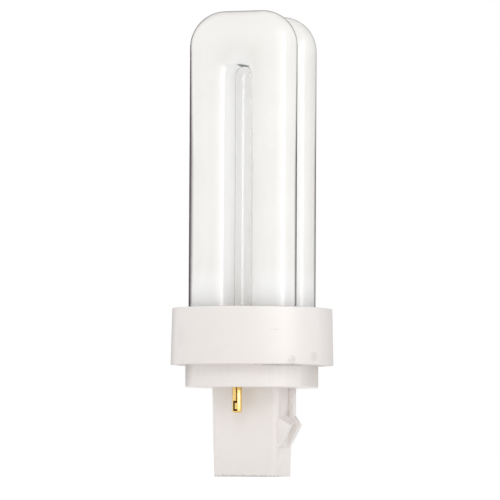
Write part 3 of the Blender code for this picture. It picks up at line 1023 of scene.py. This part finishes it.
@dataclass
class GlassTubes:
    """The discharge tube: two flat-topped Us and the short tube that joins them.

    The way along a leg is a share from 0 at the top of the bend to 1 at the end of the leg.
    """

    leg_offset: float = LEG_OFFSET
    tube_radius: float = 5.9 * MM
    lamp_length: float = 118.0 * MM
    bend_depth: float = 14.3 * MM
    bend_corner: float = 9.1 * MM
    end_level: float = 32.2 * MM
    end_dome: float = 3.0 * MM
    cross_radius: float = 2.2 * MM
    cross_level: float = 35.7 * MM
    rows: int = 181
    sides: int = 96
    cross_sides: int = 48
    bend_share: float = 0.55
    leg_share: float = 0.90
    merge_reach: float = 0.001 * MM

    def tree(self) -> bpy.types.NodeTree:
        """Geometry Nodes tree that sweeps the tube section round each U.

        Returns:
            The tree, with one input for each size.
        """
        tree = bpy.data.node_groups.new("u_tubes", "GeometryNodeTree")
        tree.interface.new_socket("Geometry", in_out="INPUT", socket_type="NodeSocketGeometry")
        for name in TUBE_SIZES:
            tree.interface.new_socket(name, in_out="INPUT", socket_type="NodeSocketFloat")
        tree.interface.new_socket("Finish", in_out="INPUT", socket_type="NodeSocketMaterial")
        tree.interface.new_socket("Geometry", in_out="OUTPUT", socket_type="NodeSocketGeometry")
        maker = NodeMaker(tree)
        entry = maker.values_of(maker.add("NodeGroupInput"))
        single = self.single_u(maker, entry)
        shells = [maker.shape("GeometryNodeTransform", single,
                              Translation=maker.joined(y=entry["Leg Offset"] * float(side.value)))
                  for side in Side]
        union = maker.add("GeometryNodeMeshBoolean", operation="UNION", solver="EXACT")
        for shell in (*shells, self.cross_tube(maker, entry)):
            maker.feed(union.inputs["Mesh 2"], shell)
        mesh = maker.shape("GeometryNodeRealizeInstances", union.outputs["Mesh"])
        mesh = maker.shape("GeometryNodeSetShadeSmooth", mesh)
        mesh = maker.shape("GeometryNodeSetMaterial", mesh, Material=entry["Finish"])
        maker.feed(maker.add("NodeGroupOutput").inputs["Geometry"], mesh)
        return tree

    def outline_reach(self, maker: NodeMaker, entry: dict[str, Value], run: Value, rise: Value,
                      pivot: Value) -> Value:
        """Distance from the bend pivot to the flat-topped outside of the bend.

        Args:
            maker: Node maker of the tree.
            entry: Inputs of the tree by name.
            run: Cosine of the direction.
            rise: Sine of the direction.
            pivot: Level of the pivot.

        Returns:
            The distance.
        """
        half_width = entry["Leg Offset"] + entry["Tube Radius"]
        top = entry["Lamp Length"] - pivot
        corner_x = half_width - entry["Bend Corner"]
        corner_z = top - entry["Bend Corner"]
        side = half_width / maker.math("MAXIMUM", run, TINY)
        flat = top / maker.math("MAXIMUM", rise, TINY)
        along = corner_x * run + corner_z * rise
        off_square = corner_x ** 2.0 + corner_z ** 2.0 - along ** 2.0
        under_root = maker.math("MAXIMUM", entry["Bend Corner"] ** 2.0 - off_square, 0.0)
        corner = along + maker.math("SQRT", under_root)
        on_side = half_width * rise < corner_z * run
        on_top = top * run < corner_x * rise
        return self.choose(on_side, self.choose(on_top, corner, flat), side)

    def choose(self, switch: Value, no: Value, yes: Value) -> Value:
        """One of two values, by a switch that is 0 or 1."""
        return no + (yes - no) * switch

    def single_u(self, maker: NodeMaker, entry: dict[str, Value]) -> bpy.types.NodeSocket:
        """One closed U, standing on the lamp's axis.

        Args:
            maker: Node maker of the tree.
            entry: Inputs of the tree by name.

        Returns:
            The socket with its mesh.
        """
        grid = maker.fed("GeometryNodeMeshGrid", Size_X=2.0, Size_Y=2.0 * math.pi,
                         Vertices_X=self.rows, Vertices_Y=self.sides + 1)
        lengthwise, round_tube, _ = maker.split(maker.add("GeometryNodeInputPosition").outputs["Position"])
        way = maker.math("ABSOLUTE", lengthwise)
        turn = maker.remap(way, 0.0, self.bend_share, math.pi / 2, 0.0)
        down_leg = maker.remap(way, self.bend_share, self.leg_share)
        dome = maker.remap(way, self.leg_share, 1.0, 0.0, math.pi / 2)
        run = maker.math("COSINE", turn)
        rise = maker.math("SINE", turn)
        inner = entry["Leg Offset"] - entry["Tube Radius"]
        pivot = entry["Lamp Length"] - entry["Bend Depth"] - inner
        outer = self.outline_reach(maker, entry, run, rise, pivot)
        shrink = maker.math("COSINE", dome)
        across = maker.math("COSINE", round_tube) * shrink
        reach = (inner + outer) * 0.5 + (outer - inner) * 0.5 * across
        leg_length = pivot - entry["End Level"] - entry["End Dome"]
        drop = leg_length * down_leg + entry["End Dome"] * maker.math("SINE", dome)
        place = maker.joined(reach * run * maker.math("SIGN", lengthwise),
                             maker.math("SINE", round_tube) * shrink * entry["Tube Radius"],
                             pivot + reach * rise - drop)
        shaped = maker.shape("GeometryNodeSetPosition", grid.outputs["Mesh"], Position=place)
        return maker.shape("GeometryNodeMergeByDistance", shaped, Distance=self.merge_reach)

    def cross_tube(self, maker: NodeMaker, entry: dict[str, Value]) -> bpy.types.NodeSocket:
        """The short tube between the left legs, inside the collar.

        Args:
            maker: Node maker of the tree.
            entry: Inputs of the tree by name.

        Returns:
            The socket with its mesh.
        """
        tube = maker.fed("GeometryNodeMeshCylinder", Vertices=self.cross_sides, Radius=entry["Cross Radius"],
                         Depth=entry["Leg Offset"] * 2.0)
        place = maker.joined(x=entry["Leg Offset"] * -1.0, z=entry["Cross Level"])
        return maker.shape("GeometryNodeTransform", tube.outputs["Mesh"], Translation=place,
                           Rotation=(math.pi / 2, 0.0, 0.0))

    def build(self, finish: bpy.types.Material) -> bpy.types.Object:
        """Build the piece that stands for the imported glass.

        Args:
            finish: Material of the glass.

        Returns:
            The finished object.
        """
        piece = linked_object("glass_tubes", bpy.data.meshes.new("glass_tubes"))
        sweep = piece.modifiers.new("u_tubes", "NODES")
        sweep.node_group = self.tree()
        values = {name: getattr(self, name.lower().replace(" ", "_")) for name in TUBE_SIZES}
        values["Finish"] = finish
        for item in sweep.node_group.interface.items_tree:
            if item.in_out == "INPUT" and item.name in values:
                sweep[item.identifier] = values[item.name]
        make_plain(piece)
        return put_on(piece, "coated_glass", "glass_tube")


# Collar.


@dataclass
class Collar:
    """The round cap with one flat on each side that holds the four legs."""

    radius: float = 20.726 * MM
    flat_cut: float = 0.85 * MM
    bottom: float = 28.2 * MM
    top: float = 42.7 * MM
    draft: float = math.radians(1.4)
    wall: float = 1.6 * MM
    roof: float = 2.0 * MM
    rounding: float = 0.35 * MM
    hole_radius: float = 6.2 * MM
    through: float = 1.0 * MM
    edge: float = 0.12 * MM

    def ring(self, level: float, inset: float = 0.0) -> list[Point]:
        """Outline ring of the drafted wall.

        Args:
            level: Level of the ring.
            inset: How far the ring lies inside the outer wall.

        Returns:
            The points of the ring.
        """
        radius = self.radius - (level - self.bottom) * math.tan(self.draft) - inset
        return at_level(flatted_circle(radius, self.flat_cut), level)

    def build(self, finish: bpy.types.Material) -> bpy.types.Object:
        """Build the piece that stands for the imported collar.

        Args:
            finish: Material of the collar.

        Returns:
            The finished object.
        """
        cap = prism("collar_cap", [self.ring(self.bottom), self.ring(self.top)])
        cap.round_edges(self.rounding, OUTLINE_ANGLE, OUTLINE_SEGMENTS)
        roof_bottom = self.top - self.roof
        cap.combine(prism("cap_hollow", [self.ring(self.bottom - self.through, self.wall),
                                         self.ring(roof_bottom, self.wall)]), Cut.TAKE_AWAY)
        levels = (roof_bottom - self.through, self.top + self.through)
        for side_x in (-1, 1):
            for side in Side:
                centre = (side_x * LEG_OFFSET, side.value * LEG_OFFSET)
                hole = round_cutter(f"leg_hole_{side_x}_{side.value}", self.hole_radius, centre, levels)
                cap.combine(hole, Cut.TAKE_AWAY)
        cap.settle().merge_flats().round_edges(self.edge, CUT_ANGLE, CUT_SEGMENTS).settle()
        return put_on(cap.dress(finish), "collar_plastic", "collar")


# Base.


@dataclass
class Base:
    """The base moulding: inner flange, neck with its pin holes and the plug post."""

    collar: Collar
    seat: float = 22.5 * MM
    neck_radius: float = 17.126 * MM
    neck_flat_cut: float = 1.75 * MM
    neck_wall: float = 1.3 * MM
    neck_floor: float = 1.8 * MM
    neck_rounding: float = 0.35 * MM
    flange_thickness: float = 1.9 * MM
    post_width: float = 16.4 * MM
    post_depth: float = 14.2 * MM
    post_shift: float = 0.25 * MM
    post_corner: float = 1.15 * MM
    post_draft: float = math.radians(1.2)
    post_wall: float = 1.4 * MM
    block_height: float = 7.4 * MM
    panel_depth: float = 0.4 * MM
    panel_margin: float = 2.6 * MM
    ramp_height: float = 5.8 * MM
    peak_proud: float = 2.8 * MM
    cheek_width: float = 3.3 * MM
    shoulder_height: float = 2.2 * MM
    roof_proud: float = 1.95 * MM
    roof_thickness: float = 1.1 * MM
    groove_width: float = 0.42 * MM
    groove_depth: float = 0.9 * MM
    rib_width: float = 2.1 * MM
    rib_margin: float = 0.6 * MM
    rib_proud: float = 1.15 * MM
    pin_hole_radius: float = 1.525 * MM
    pin_hole_sides: int = 48
    gap: float = 0.3 * MM
    through: float = 1.0 * MM
    edge: float = 0.16 * MM
    edge_angle: float = 24.0

    def post_side(self, level: float) -> float:
        """How far out the latch side of the drafted post is at a level."""
        return self.post_shift + self.post_width / 2 + level * math.tan(self.post_draft)

    def post_ring(self, level: float, inset: float = 0.0) -> list[Point]:
        """Outline ring of the drafted post.

        Args:
            level: Level of the ring.
            inset: How far the ring lies inside the outer wall.

        Returns:
            The points of the ring.
        """
        growth = 2.0 * (level * math.tan(self.post_draft) - inset)
        corner = max(self.post_corner - inset, self.gap)
        outline = rounded_rectangle(self.post_width + growth, self.post_depth + growth, corner)
        return at_level(outline, level, (self.post_shift, 0.0))

    def neck_ring(self, level: float, inset: float = 0.0) -> list[Point]:
        """Outline ring of the neck at a level, stepped inwards by an inset."""
        return at_level(flatted_circle(self.neck_radius - inset, self.neck_flat_cut), level)

    def post(self) -> Workpiece:
        """The plug post with its latch side.

        Returns:
            The post as a solid.
        """
        post_top = self.seat + self.neck_floor / 2
        post = prism("post", [self.post_ring(0.0), self.post_ring(post_top)])
        block_reach = self.post_side(self.block_height)
        floor_reach = block_reach - self.panel_depth
        root_reach = block_reach - self.post_wall / 2
        rib_reach = block_reach + self.rib_proud
        roof_reach = block_reach + self.roof_proud
        peak = (block_reach + self.peak_proud, self.block_height + self.ramp_height)
        clear = peak[0] + self.through
        foot = self.block_height - self.gap
        shoulder = peak[1] + self.shoulder_height
        rib_top = post_top - self.gap
        panel_top = post_top + self.through
        panel_top_reach = self.post_side(panel_top) - self.panel_depth
        panel_start = self.panel_margin - self.post_depth / 2
        cheek_end = panel_start + self.cheek_width
        rib_end = self.post_depth / 2 - self.rib_margin
        rib_start = rib_end - self.rib_width
        panel = [(floor_reach, self.block_height), (clear, self.block_height),
                 (clear, panel_top), (panel_top_reach, panel_top)]
        rib = [(root_reach, foot), (floor_reach, foot), peak, (rib_reach, shoulder),
               (rib_reach, rib_top), (root_reach, rib_top)]
        cheek = [(root_reach, foot), (floor_reach, foot), peak,
                 (floor_reach - self.gap, shoulder), (root_reach, shoulder)]
        bridge = [(root_reach, shoulder), (floor_reach, shoulder), (roof_reach, peak[1] + self.gap),
                  (roof_reach - self.roof_thickness, peak[1] - self.gap),
                  (root_reach, shoulder - self.roof_thickness)]
        groove = [(floor_reach - self.groove_depth, shoulder), (clear, shoulder),
                  (clear, panel_top), (panel_top_reach - self.groove_depth, panel_top)]
        for name, profile, near, far, cut in (
                ("panel", panel, panel_start, rib_start + self.gap, Cut.TAKE_AWAY),
                ("rib", rib, rib_start, rib_end, Cut.JOIN),
                ("cheek", cheek, panel_start - self.gap, cheek_end, Cut.JOIN),
                ("bridge", bridge, cheek_end - self.gap, rib_start + self.gap, Cut.JOIN),
                ("groove", groove, rib_start - self.groove_width, rib_start, Cut.TAKE_AWAY)):
            post.combine(slab(name, profile, near, far), cut)
        return post

    def build(self, finish: bpy.types.Material) -> bpy.types.Object:
        """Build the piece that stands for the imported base.

        Args:
            finish: Material of the base.

        Returns:
            The finished object.
        """
        flange_bottom = self.collar.bottom + self.gap
        flange_top = flange_bottom + self.flange_thickness
        neck = prism("base_moulding", [self.neck_ring(self.seat),
                                       self.neck_ring(flange_bottom + self.flange_thickness / 2)])
        neck.round_edges(self.neck_rounding, OUTLINE_ANGLE, OUTLINE_SEGMENTS)
        inset = self.collar.wall + self.gap
        neck.combine(prism("flange", [self.collar.ring(flange_bottom, inset),
                                      self.collar.ring(flange_top, inset)]), Cut.JOIN)
        neck.combine(self.post(), Cut.JOIN)
        floor_top = self.seat + self.neck_floor
        beyond = floor_top + self.through
        neck.combine(prism("neck_hollow", [self.neck_ring(floor_top, self.neck_wall),
                                           self.neck_ring(flange_top + self.through, self.neck_wall)]),
                     Cut.TAKE_AWAY)
        neck.combine(prism("post_hollow", [self.post_ring(self.post_wall, self.post_wall),
                                           self.post_ring(beyond, self.post_wall)]), Cut.TAKE_AWAY)
        for side in Side:
            neck.combine(round_cutter(f"pin_hole_{side.name}", self.pin_hole_radius,
                                      (0.0, side.value * PIN_OFFSET), (self.seat - self.through, beyond),
                                      self.pin_hole_sides), Cut.TAKE_AWAY)
        neck.settle().merge_flats().round_edges(self.edge, self.edge_angle, harden=True).settle()
        return put_on(neck.dress(finish), "base_plastic", "base")


# Contact pins.


@dataclass
class ContactPin:
    """A rolled brass pin with an open seam, a cut round a small catch and a rounded tip."""

    side: Side
    radius: float = 1.225 * MM
    wall: float = 0.4 * MM
    tip_level: float = PIN_TIP
    top_level: float = 26.6 * MM
    tip_rounding: float = 0.55 * MM
    tip_steps: int = 8
    sides: int = 64
    catch_top: float = 19.05 * MM
    catch_bottom: float = 16.5 * MM
    catch_cut: float = 0.5 * MM
    catch_floor: float = 0.5 * MM
    catch_angle: float = math.radians(-112.0)
    tongue_width: float = 1.15 * MM
    tongue_angle: float = math.radians(-96.0)
    seam_width: float = 0.26 * MM
    seam_depth: float = 0.36 * MM
    seam_angle: float = math.radians(-79.0)
    through: float = 1.0 * MM
    edge: float = 0.05 * MM
    crisp_angle: float = 35.0

    def cut_slit(self, pin: Workpiece, name: str, width: float, floor: float, levels: Span,
                 angle: float) -> None:
        """Cut an upright slit from outside the pin towards its axis.

        Args:
            pin: The pin.
            name: Name of the cutter.
            width: Width of the slit.
            floor: Distance from the axis to its floor.
            levels: Lowest and highest level.
            angle: Its direction from the axis on the front pin. The back pin is the front pin, turned
                half round with the lamp.
        """
        if self.side is Side.BACK:
            angle += math.pi
        along = Vector((math.cos(angle), math.sin(angle), 0.0))
        across = Vector((-along.y, along.x, 0.0)) * (width / 2)
        centre = Vector((0.0, self.side.value * PIN_OFFSET, 0.0))
        outside = self.radius + self.through
        corners = [centre + along * near + across * sign
                   for near, sign in ((floor, 1), (floor, -1), (outside, -1), (outside, 1))]
        cutter = prism(name, [[(corner.x, corner.y, level) for corner in corners] for level in levels])
        pin.combine(cutter, Cut.TAKE_AWAY)

    def build(self, finish: bpy.types.Material) -> bpy.types.Object:
        """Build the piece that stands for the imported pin.

        Args:
            finish: Material of the pin.

        Returns:
            The finished object.
        """
        centre = (0.0, self.side.value * PIN_OFFSET)
        rings = []
        for step in range(self.tip_steps + 1):
            angle = math.pi / 2 * step / self.tip_steps
            ring_radius = self.radius - self.tip_rounding * (1.0 - math.sin(angle))
            level = self.tip_level + self.tip_rounding * (1.0 - math.cos(angle))
            rings.append(at_level(circle(ring_radius, self.sides), level, centre))
        rings.append(at_level(circle(self.radius, self.sides), self.top_level, centre))
        node = f"contact_pin_{self.side.name.lower()}"
        pin = prism(f"{node}_brass", rings)
        beyond = self.top_level + self.through
        pin.combine(round_cutter("bore", self.radius - self.wall, centre,
                                 (self.catch_top + 2.0 * self.wall, beyond), self.sides), Cut.TAKE_AWAY)
        self.cut_slit(pin, "catch_side", self.catch_cut, self.catch_floor,
                      (self.catch_bottom, self.catch_top), self.catch_angle)
        self.cut_slit(pin, "catch_over", self.tongue_width, self.catch_floor,
                      (self.catch_top - self.catch_cut, self.catch_top), self.tongue_angle)
        self.cut_slit(pin, "catch_under", self.tongue_width, self.catch_floor,
                      (self.catch_bottom, self.catch_bottom + self.catch_cut), self.tongue_angle)
        self.cut_slit(pin, "seam", self.seam_width, self.radius - self.seam_depth,
                      (self.catch_top - self.catch_cut / 2, beyond), self.seam_angle)
        pin.settle().merge_flats().round_edges(self.edge, CUT_ANGLE, CUT_SEGMENTS).settle()
        return put_on(pin.dress(finish, self.crisp_angle), "pin_brass", node)


# Parts inside the base.


@dataclass
class InnerParts:
    """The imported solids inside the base, which keep their shape and get a finish."""

    finishes: dict[str, bpy.types.Material]

    def dress(self) -> None:
        """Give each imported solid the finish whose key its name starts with."""
        for name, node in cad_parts.items():
            for start, finish in self.finishes.items():
                if name.startswith(start):
                    node.data.materials.clear()
                    node.data.materials.append(finish)
                    LOG.info("dressed %s", name)


# Studio.


class Lights(Enum):
    """What a soft lamp works on."""

    MATT = "the light on matt surfaces"
    GLOSS = "the reflections in glossy surfaces"


@dataclass(frozen=True)
class Softbox:
    """Rectangular soft lamp that faces the object.

    Its azimuth is in degrees from the front, with 90 to the right, and its power is in watts.
    """

    name: str
    azimuth: float
    distance: float
    level: float
    width: float
    height: float
    power: float
    lights: Lights


SOFTBOXES = (
    Softbox("softbox_key", 8.0, 900 * MM, 620 * MM, 500 * MM, 400 * MM, 1.5, Lights.MATT),
    Softbox("gloss_wide", 60.0, 500 * MM, 150 * MM, 640 * MM, 900 * MM, 1.3, Lights.GLOSS),
    Softbox("gloss_core", 59.0, 590 * MM, 130 * MM, 380 * MM, 800 * MM, 1.1, Lights.GLOSS),
    Softbox("gloss_strip", 65.0, 600 * MM, 110 * MM, 150 * MM, 760 * MM, 1.2, Lights.GLOSS),
    Softbox("softbox_side", 66.0, 600 * MM, 120 * MM, 300 * MM, 400 * MM, 0.28, Lights.MATT))


@dataclass
class Studio:
    """White floor, white surround, soft lamps, dark cards and the camera."""

    ambient: float = 0.905
    soft_bounces: int = 12
    lamp_tint: Colour = (0.95, 0.97, 0.97)
    floor_radius: float = 3.0
    floor_sides: int = 64
    floor_shade: float = 0.91
    floor_roughness: float = 0.9
    floor_white: float = 1.06
    floor_glow: float = 0.90
    card_side: float = 25.0 * MM
    card_shades: Span = (0.02, 0.12)
    card_beyond: Span = (2.0 * MM, 95.0 * MM)
    card_levels: Span = (22.0 * MM, 140.0 * MM)
    top_card_side: float = 30.0 * MM
    top_card_level: float = 150.0 * MM
    top_card_shade: float = 0.25
    target_level: float = 59.0 * MM
    camera_distance: float = 970.0 * MM
    camera_height: float = 8.0 * MM
    camera_roll: float = math.radians(0.3)
    camera_shift: Span = (-0.0053, -0.0106)
    pixels_per_metre: float = 3923.0
    frame_pixels: float = 500.0
    sensor: float = 36.0

    def white_ray(self, maker: NodeMaker) -> Value:
        """Switch that is 1 for rays that show the background.

        Args:
            maker: Node maker of the tree.

        Returns:
            The switch.
        """
        path = maker.add("ShaderNodeLightPath")
        seen = maker.math("MAXIMUM", path.outputs["Is Camera Ray"], path.outputs["Is Glossy Ray"])
        return maker.math("MAXIMUM", seen, path.outputs["Is Transmission Ray"])

    def world(self) -> None:
        """White surround, dimmer where it lights the lamp."""
        world = bpy.data.worlds.new("surround")
        bpy.context.scene.world = world
        world.use_nodes = True
        maker = NodeMaker(world.node_tree)
        background = world.node_tree.nodes["Background"]
        background.inputs["Color"].default_value = colour(WHITE)
        strength = maker.remap(self.white_ray(maker), 0.0, 1.0, self.ambient, 1.0)
        maker.feed(background.inputs["Strength"], strength)

    def matt(self, name: str, shade: float, roughness: float) -> tuple[bpy.types.Material, bpy.types.Node]:
        """Plain grey material for the floor or a card.

        Args:
            name: Name of the material.
            shade: Its brightness.
            roughness: Its roughness.

        Returns:
            The material and its shader.
        """
        material = bpy.data.materials.new(name)
        material.use_nodes = True
        shader = material.node_tree.nodes["Principled BSDF"]
        shader.inputs["Base Color"].default_value = colour((shade, shade, shade))
        shader.inputs["Roughness"].default_value = roughness
        return material, shader

    def floor(self) -> None:
        """Pale floor that keeps the lamp's soft shadow."""
        mesh = bmesh.new()
        bmesh.ops.create_circle(mesh, cap_ends=True, radius=self.floor_radius, segments=self.floor_sides)
        floor = mesh_object("floor", mesh)
        material, shader = self.matt("pale_floor", self.floor_shade, self.floor_roughness)
        shader.inputs["Specular IOR Level"].default_value = 0.0
        maker = NodeMaker(material.node_tree)
        glow = maker.fed("ShaderNodeEmission", Color=colour(WHITE), Strength=self.floor_white)
        blend = maker.add("ShaderNodeMixShader")
        for socket, value in zip(blend.inputs, (self.white_ray(maker) * self.floor_glow,
                                                shader.outputs["BSDF"], glow.outputs["Emission"])):
            maker.feed(socket, value)
        output = material.node_tree.nodes["Material Output"]
        maker.feed(output.inputs["Surface"], blend.outputs["Shader"])
        floor.data.materials.append(material)

    def softbox(self, box: Softbox) -> None:
        """Set up a soft lamp.

        Args:
            box: Its place, size and power.
        """
        light = bpy.data.lights.new(box.name, "AREA")
        light.shape = "RECTANGLE"
        light.size, light.size_y = box.width, box.height
        light.energy = box.power
        light.color = self.lamp_tint
        holder = linked_object(box.name, light)
        turn = math.radians(box.azimuth)
        holder.location = (box.distance * math.sin(turn), -box.distance * math.cos(turn), box.level)
        aim = Vector((0.0, 0.0, self.target_level)) - Vector(holder.location)
        holder.rotation_euler = aim.to_track_quat("-Z", "Y").to_euler()
        holder.visible_camera = False
        holder.visible_diffuse = box.lights is Lights.MATT
        holder.visible_glossy = box.lights is Lights.GLOSS

    def dark_card(self, name: str, places: Sequence[Point], shade: float) -> None:
        """Dark card near the lamp that shows only in its gloss.

        Args:
            name: Name of the card.
            places: Its four corners, each with its distance to the right of the lamp's axis as the
                camera sees it, its distance beyond the axis and its level.
            shade: Brightness that the card reflects.
        """
        cosine, sine = math.cos(VIEW_TURN), math.sin(VIEW_TURN)
        mesh = bmesh.new()
        corners = [(across * cosine - beyond * sine, across * sine + beyond * cosine, level)
                   for across, beyond, level in places]
        mesh.faces.new([mesh.verts.new(corner) for corner in corners])
        card = mesh_object(name, mesh)
        card.data.materials.append(self.matt(name, shade, 1.0)[0])
        card.visible_camera = False
        card.visible_diffuse = False
        card.visible_shadow = False
        card.visible_transmission = False

    def cards(self) -> None:
        """Upright cards behind the lamp on both sides, for the rims of the glass, and one above it."""
        near, far = self.card_beyond
        bottom, top = self.card_levels
        for name, across, shade in (("card_left", -self.card_side, self.card_shades[0]),
                                    ("card_right", self.card_side, self.card_shades[1])):
            self.dark_card(name, [(across, near, bottom), (across, far, bottom),
                                  (across, far, top), (across, near, top)], shade)
        side, level = self.top_card_side, self.top_card_level
        self.dark_card("card_top", [(-side, 0.0, level), (side, 0.0, level), (side, far, level),
                                    (-side, far, level)], self.top_card_shade)

    def camera(self) -> None:
        """Camera at the viewing angle of the photograph."""
        spot = Vector((self.camera_distance * math.sin(VIEW_TURN),
                       -self.camera_distance * math.cos(VIEW_TURN), self.camera_height))
        aim = Vector((0.0, 0.0, self.target_level)) - spot
        data = bpy.data.cameras.new("camera")
        data.sensor_width = self.sensor
        data.lens = self.pixels_per_metre * aim.length / self.frame_pixels * self.sensor
        data.shift_x, data.shift_y = self.camera_shift
        holder = linked_object("camera", data)
        turned = aim.to_track_quat("-Z", "Y").to_matrix().to_4x4()
        holder.matrix_world = Matrix.Translation(spot) @ turned @ Matrix.Rotation(self.camera_roll, 4, "Z")
        bpy.context.scene.camera = holder

    def build(self) -> None:
        """Set up the whole studio."""
        scene = bpy.context.scene
        scene.view_settings.view_transform = "Standard"
        scene.cycles.diffuse_bounces = self.soft_bounces
        self.world()
        self.floor()
        for box in SOFTBOXES:
            self.softbox(box)
        self.cards()
        self.camera()
        LOG.info("studio ready")


# Marks on the collar, and painted shade in the joint under it and along the end of the post.

COLLAR_SPOTS = (
    Spot((15.1 * MM, -14.2 * MM, 29.1 * MM), (1.7 * MM, 1.9 * MM, 1.5 * MM), 0.28),
    Spot((19.0 * MM, -8.2 * MM, 30.2 * MM), (1.6 * MM, 1.8 * MM, 1.5 * MM), 0.22),
    Spot((-14.1 * MM, -15.1 * MM, 35.2 * MM), (2.8 * MM, 2.6 * MM, 3.6 * MM), 0.07),
    Spot((11.5 * MM, -17.2 * MM, 36.9 * MM), (1.2 * MM, 2.0 * MM, 0.16 * MM), 0.24))
# Painted shade: dark patches in the joint under the collar and along the end of the post.
BASE_PAINTED_SHADE = (
    Spot((12.0 * MM, -12.0 * MM, 28.35 * MM), (9.0 * MM, 9.0 * MM, 0.50 * MM), 0.55),
    Spot((0.25 * MM, -6.5 * MM, 0.0), (16.0 * MM, 8.0 * MM, 0.58 * MM), 0.50))


def main() -> None:
    """Build every piece of the lamp in order, and then the studio around it."""
    logging.basicConfig(level=logging.INFO, format="%(name)s %(message)s")
    GlassTubes().build(CoatedGlass().material())
    collar = Collar()
    satin = MouldedPlastic("collar_plastic", (0.822, 0.778, 0.752), (0.35, 0.45), COLLAR_SPOTS)
    collar.build(satin.material())
    smooth = MouldedPlastic("base_plastic", (0.846, 0.800, 0.771), (0.25, 0.35), BASE_PAINTED_SHADE)
    Base(collar).build(smooth.material())
    brass = RolledBrass().material()
    for side in Side:
        ContactPin(side).build(brass)
    wire = PlainPart("tinned_wire", (0.72, 0.71, 0.68), (0.60, 0.59, 0.57), (0.22, 0.42),
                     metallic=1.0).material()
    glass = PlainPart("starter_glass", (0.66, 0.70, 0.70), (0.50, 0.54, 0.55), (0.04, 0.10)).material()
    coat = PlainPart("dipped_coat", (0.55, 0.32, 0.10), (0.42, 0.22, 0.06), (0.15, 0.28)).material()
    cement = PlainPart("dry_cement", (0.78, 0.75, 0.70), (0.64, 0.61, 0.56), (0.75, 0.95),
                       grain_depth=0.05 * MM).material()
    InnerParts({"starter_bulb": glass, "starter_capacitor": coat, "cement": cement,
                "cathode_lead": wire, "starter_lead": wire, "capacitor_lead": wire}).dress()
    Studio().build()


if __name__ == "__main__":
    main()
